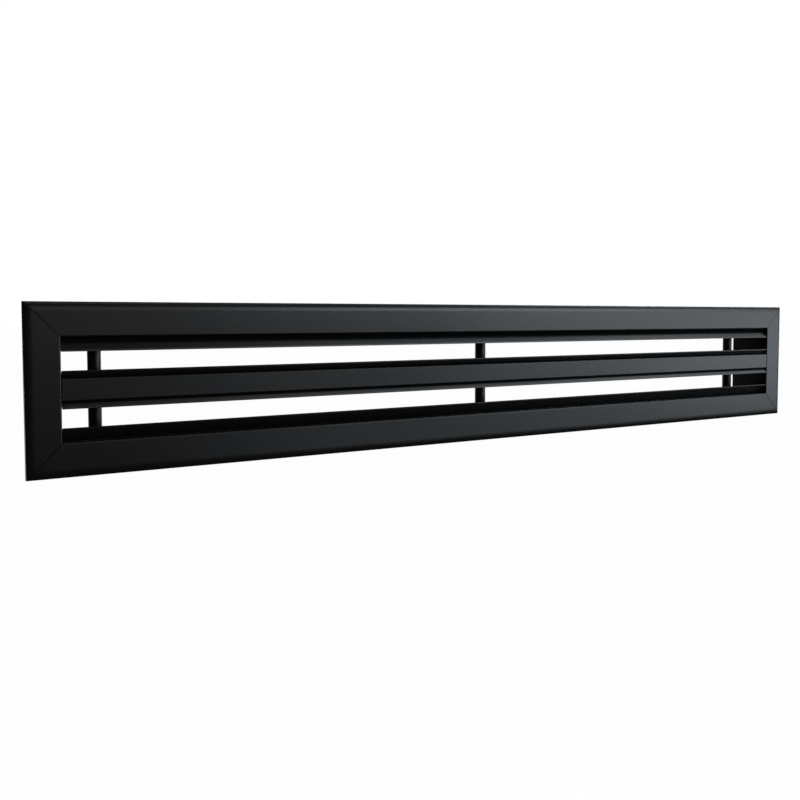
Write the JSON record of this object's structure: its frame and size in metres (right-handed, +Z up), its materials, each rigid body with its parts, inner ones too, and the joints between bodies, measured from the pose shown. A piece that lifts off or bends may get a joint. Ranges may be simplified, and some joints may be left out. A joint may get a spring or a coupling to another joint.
{
  "type": "linear slot diffuser",
  "caption": "Long rectangular air diffuser with a bevelled flange, open slots either side of a centre bar, and narrow blades that turn to steer the air.",
  "frame": {"origin": "centre of the opening in the plane of the wall, where the back of the flange rests", "axes": "+X along the slots to the right, +Y into the wall along the neck, +Z up; the face looks along -Y"},
  "size_m": [0.85, 0.0465, 0.125],
  "materials": {
    "frame_black": "satin black powder coat on extruded aluminium",
    "blade_black": "satin black powder coat on extruded aluminium",
    "spacer_black": "satin black powder coat on aluminium tube",
    "key_aluminium": "mill finish",
    "zinc_steel": "bright zinc plate"
  },
  "bodies": {
    "frame": {"top_rail": "frame_black", "bottom_rail": "frame_black", "left_rail": "frame_black", "right_rail": "frame_black", "centre_bar": "frame_black", "upper_left_spacer": "spacer_black", "upper_middle_spacer": "spacer_black", "upper_right_spacer": "spacer_black", "lower_left_spacer": "spacer_black", "lower_middle_spacer": "spacer_black", "lower_right_spacer": "spacer_black", "left_tie_rod": "zinc_steel", "middle_tie_rod": "zinc_steel", "right_tie_rod": "zinc_steel", "tie_rod_nuts": "zinc_steel", "tie_rod_washers": "zinc_steel", "top_left_key": "key_aluminium", "top_right_key": "key_aluminium", "bottom_left_key": "key_aluminium", "bottom_right_key": "key_aluminium", "corner_key_screws": "zinc_steel", "centre_bar_screws": "zinc_steel"},
    "upper_slot_top_blade": {"upper_slot_top_blade": "blade_black"},
    "upper_slot_bottom_blade": {"upper_slot_bottom_blade": "blade_black"},
    "lower_slot_top_blade": {"lower_slot_top_blade": "blade_black"},
    "lower_slot_bottom_blade": {"lower_slot_bottom_blade": "blade_black"}
  },
  "joints": [
    {"name": "upper_slot_top_turn", "type": "hinge", "parent": "frame", "child": "upper_slot_top_blade", "pos_m": [0, 0.00397, 0.0385], "axis": [1, 0, 0], "range_deg": [0, 70]},
    {"name": "upper_slot_bottom_turn", "type": "hinge", "parent": "frame", "child": "upper_slot_bottom_blade", "pos_m": [0, 0.00347, 0.0023], "axis": [-1, 0, 0], "range_deg": [0, 70]},
    {"name": "lower_slot_top_turn", "type": "hinge", "parent": "frame", "child": "lower_slot_top_blade", "pos_m": [0, 0.00347, -0.0023], "axis": [1, 0, 0], "range_deg": [0, 70]},
    {"name": "lower_slot_bottom_turn", "type": "hinge", "parent": "frame", "child": "lower_slot_bottom_blade", "pos_m": [0, 0.00397, -0.0385], "axis": [-1, 0, 0], "range_deg": [0, 70]}
  ]
}
